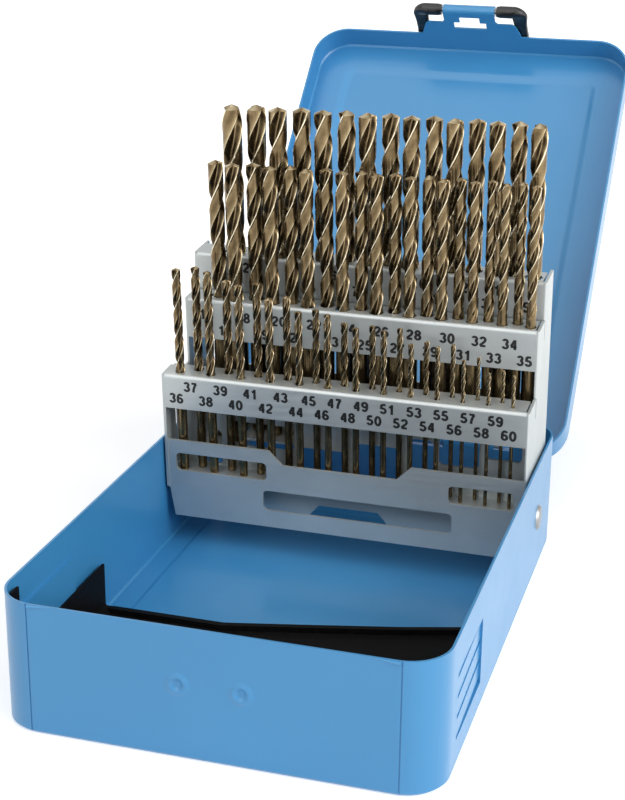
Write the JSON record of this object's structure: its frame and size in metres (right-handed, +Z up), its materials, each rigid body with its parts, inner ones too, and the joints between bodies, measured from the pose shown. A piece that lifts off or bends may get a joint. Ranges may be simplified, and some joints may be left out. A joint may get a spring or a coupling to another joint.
{
  "type": "drill bit index case",
  "caption": "Hinged steel drill index: an open tray, a lid with a finger latch, and a stepped rack of numbered drills that folds down flat.",
  "frame": {"origin": "centre of the tray's underside", "axes": "+X to the right, +Y to the back where the lid is hinged, +Z up"},
  "size_m": [0.1134, 0.2855, 0.1457],
  "materials": {
    "blue_paint": "gloss baked paint",
    "grey_rack": "satin silver-grey paint",
    "bronze_steel": "straw-bronze oxide, ground and fluted",
    "black_gloss": "gloss black moulding",
    "black_liner": "satin black moulding",
    "plated_steel": "bright plated"
  },
  "bodies": {
    "base": {"base_tray": "blue_paint", "hinge_pin": "plated_steel", "pivot_rivet_right": "plated_steel", "pivot_rivet_left": "plated_steel", "pivot_washer_right": "plated_steel", "pivot_spacer_left": "plated_steel", "tip_stop_tray": "black_liner"},
    "lid": {"lid_shell": "blue_paint", "latch_pin": "plated_steel"},
    "latch": {"latch_lever": "black_gloss"},
    "rack": {"front_shelf": "grey_rack", "middle_shelf": "grey_rack", "back_shelf": "grey_rack", "side_plate_right": "grey_rack", "side_plate_left": "grey_rack", "front_strut_left": "grey_rack", "lower_front_plate": "grey_rack", "front_floor": "grey_rack", "divider_plate": "grey_rack", "shank_stop_middle": "grey_rack", "shank_stop_back": "grey_rack", "rear_brace": "grey_rack"},
    "drill_01": {"drill_01": "bronze_steel"},
    "drill_02": {"drill_02": "bronze_steel"},
    "drill_03": {"drill_03": "bronze_steel"},
    "drill_04": {"drill_04": "bronze_steel"},
    "drill_05": {"drill_05": "bronze_steel"},
    "drill_06": {"drill_06": "bronze_steel"},
    "drill_07": {"drill_07": "bronze_steel"},
    "drill_08": {"drill_08": "bronze_steel"},
    "drill_09": {"drill_09": "bronze_steel"},
    "drill_10": {"drill_10": "bronze_steel"},
    "drill_11": {"drill_11": "bronze_steel"},
    "drill_12": {"drill_12": "bronze_steel"},
    "drill_13": {"drill_13": "bronze_steel"},
    "drill_14": {"drill_14": "bronze_steel"},
    "drill_15": {"drill_15": "bronze_steel"},
    "drills_16_to_17": {"drills_16_to_17": "bronze_steel"},
    "drills_18_to_21": {"drills_18_to_21": "bronze_steel"},
    "drills_22_to_24": {"drills_22_to_24": "bronze_steel"},
    "drills_25_to_27": {"drills_25_to_27": "bronze_steel"},
    "drills_28_to_29": {"drills_28_to_29": "bronze_steel"},
    "drills_30_to_32": {"drills_30_to_32": "bronze_steel"},
    "drills_33_to_35": {"drills_33_to_35": "bronze_steel"},
    "drills_36_to_38": {"drills_36_to_38": "bronze_steel"},
    "drills_39_to_41": {"drills_39_to_41": "bronze_steel"},
    "drills_42_to_43": {"drills_42_to_43": "bronze_steel"},
    "drills_44_to_46": {"drills_44_to_46": "bronze_steel"},
    "drills_47_to_51": {"drills_47_to_51": "bronze_steel"},
    "drills_52_to_55": {"drills_52_to_55": "bronze_steel"},
    "drills_56_to_57": {"drills_56_to_57": "bronze_steel"},
    "drills_58_to_60": {"drills_58_to_60": "bronze_steel"}
  },
  "joints": [
    {"name": "lid_hinge", "type": "hinge", "parent": "base", "child": "lid", "pos_m": [0, 0.0805, 0.025], "axis": [-1, 0, 0], "range_deg": [-136.4, 0]},
    {"name": "rack_fold", "type": "hinge", "parent": "base", "child": "rack", "pos_m": [0, 0.04749, 0.01756], "axis": [-1, 0, 0], "range_deg": [-86.2, 0.2]},
    {"name": "latch_pivot", "type": "hinge", "parent": "lid", "child": "latch", "pos_m": [0, 0.19098, 0.14361], "axis": [1, 0, 0], "range_deg": [0, 100]},
    {"name": "drill_01_lift", "type": "slide", "parent": "rack", "child": "drill_01", "axis": [0, -0.0698, 0.9976], "range_m": [0, 0.0515]},
    {"name": "drill_02_lift", "type": "slide", "parent": "rack", "child": "drill_02", "axis": [0, -0.0698, 0.9976], "range_m": [0, 0.0515]},
    {"name": "drill_03_lift", "type": "slide", "parent": "rack", "child": "drill_03", "axis": [0, -0.0698, 0.9976], "range_m": [0, 0.0484]},
    {"name": "drill_04_lift", "type": "slide", "parent": "rack", "child": "drill_04", "axis": [0, -0.0698, 0.9976], "range_m": [0, 0.0484]},
    {"name": "drill_05_lift", "type": "slide", "parent": "rack", "child": "drill_05", "axis": [0, -0.0698, 0.9976], "range_m": [0, 0.0484]},
    {"name": "drill_06_lift", "type": "slide", "parent": "rack", "child": "drill_06", "axis": [0, -0.0698, 0.9976], "range_m": [0, 0.0484]},
    {"name": "drill_07_lift", "type": "slide", "parent": "rack", "child": "drill_07", "axis": [0, -0.0698, 0.9976], "range_m": [0, 0.0452]},
    {"name": "drill_08_lift", "type": "slide", "parent": "rack", "child": "drill_08", "axis": [0, -0.0698, 0.9976], "range_m": [0, 0.0452]},
    {"name": "drill_09_lift", "type": "slide", "parent": "rack", "child": "drill_09", "axis": [0, -0.0698, 0.9976], "range_m": [0, 0.0452]},
    {"name": "drill_10_lift", "type": "slide", "parent": "rack", "child": "drill_10", "axis": [0, -0.0698, 0.9976], "range_m": [0, 0.0452]},
    {"name": "drill_11_lift", "type": "slide", "parent": "rack", "child": "drill_11", "axis": [0, -0.0698, 0.9976], "range_m": [0, 0.042]},
    {"name": "drill_12_lift", "type": "slide", "parent": "rack", "child": "drill_12", "axis": [0, -0.0698, 0.9976], "range_m": [0, 0.042]},
    {"name": "drill_13_lift", "type": "slide", "parent": "rack", "child": "drill_13", "axis": [0, -0.0698, 0.9976], "range_m": [0, 0.042]},
    {"name": "drill_14_lift", "type": "slide", "parent": "rack", "child": "drill_14", "axis": [0, -0.0698, 0.9976], "range_m": [0, 0.0388]},
    {"name": "drill_15_lift", "type": "slide", "parent": "rack", "child": "drill_15", "axis": [0, -0.0698, 0.9976], "range_m": [0, 0.0388]},
    {"name": "drills_16_to_17_lift", "type": "slide", "parent": "rack", "child": "drills_16_to_17", "axis": [0, -0.0698, 0.9976], "range_m": [0, 0.042]},
    {"name": "drills_18_to_21_lift", "type": "slide", "parent": "rack", "child": "drills_18_to_21", "axis": [0, -0.0698, 0.9976], "range_m": [0, 0.0388]},
    {"name": "drills_22_to_24_lift", "type": "slide", "parent": "rack", "child": "drills_22_to_24", "axis": [0, -0.0698, 0.9976], "range_m": [0, 0.0357]},
    {"name": "drills_25_to_27_lift", "type": "slide", "parent": "rack", "child": "drills_25_to_27", "axis": [0, -0.0698, 0.9976], "range_m": [0, 0.0325]},
    {"name": "drills_28_to_29_lift", "type": "slide", "parent": "rack", "child": "drills_28_to_29", "axis": [0, -0.0698, 0.9976], "range_m": [0, 0.0293]},
    {"name": "drills_30_to_32_lift", "type": "slide", "parent": "rack", "child": "drills_30_to_32", "axis": [0, -0.0698, 0.9976], "range_m": [0, 0.0261]},
    {"name": "drills_33_to_35_lift", "type": "slide", "parent": "rack", "child": "drills_33_to_35", "axis": [0, -0.0698, 0.9976], "range_m": [0, 0.023]},
    {"name": "drills_36_to_38_lift", "type": "slide", "parent": "rack", "child": "drills_36_to_38", "axis": [0, -0.0698, 0.9976], "range_m": [0, 0.0286]},
    {"name": "drills_39_to_41_lift", "type": "slide", "parent": "rack", "child": "drills_39_to_41", "axis": [0, -0.0698, 0.9976], "range_m": [0, 0.0286]},
    {"name": "drills_42_to_43_lift", "type": "slide", "parent": "rack", "child": "drills_42_to_43", "axis": [0, -0.0698, 0.9976], "range_m": [0, 0.0286]},
    {"name": "drills_44_to_46_lift", "type": "slide", "parent": "rack", "child": "drills_44_to_46", "axis": [0, -0.0698, 0.9976], "range_m": [0, 0.0286]},
    {"name": "drills_47_to_51_lift", "type": "slide", "parent": "rack", "child": "drills_47_to_51", "axis": [0, -0.0698, 0.9976], "range_m": [0, 0.0286]},
    {"name": "drills_52_to_55_lift", "type": "slide", "parent": "rack", "child": "drills_52_to_55", "axis": [0, -0.0698, 0.9976], "range_m": [0, 0.0286]},
    {"name": "drills_56_to_57_lift", "type": "slide", "parent": "rack", "child": "drills_56_to_57", "axis": [0, -0.0698, 0.9976], "range_m": [0, 0.0286]},
    {"name": "drills_58_to_60_lift", "type": "slide", "parent": "rack", "child": "drills_58_to_60", "axis": [0, -0.0698, 0.9976], "range_m": [0, 0.0286]}
  ],
  "couplings": [
    {"joint": "rack_fold", "follows": "lid_hinge", "ratio": 0.6305}
  ]
}
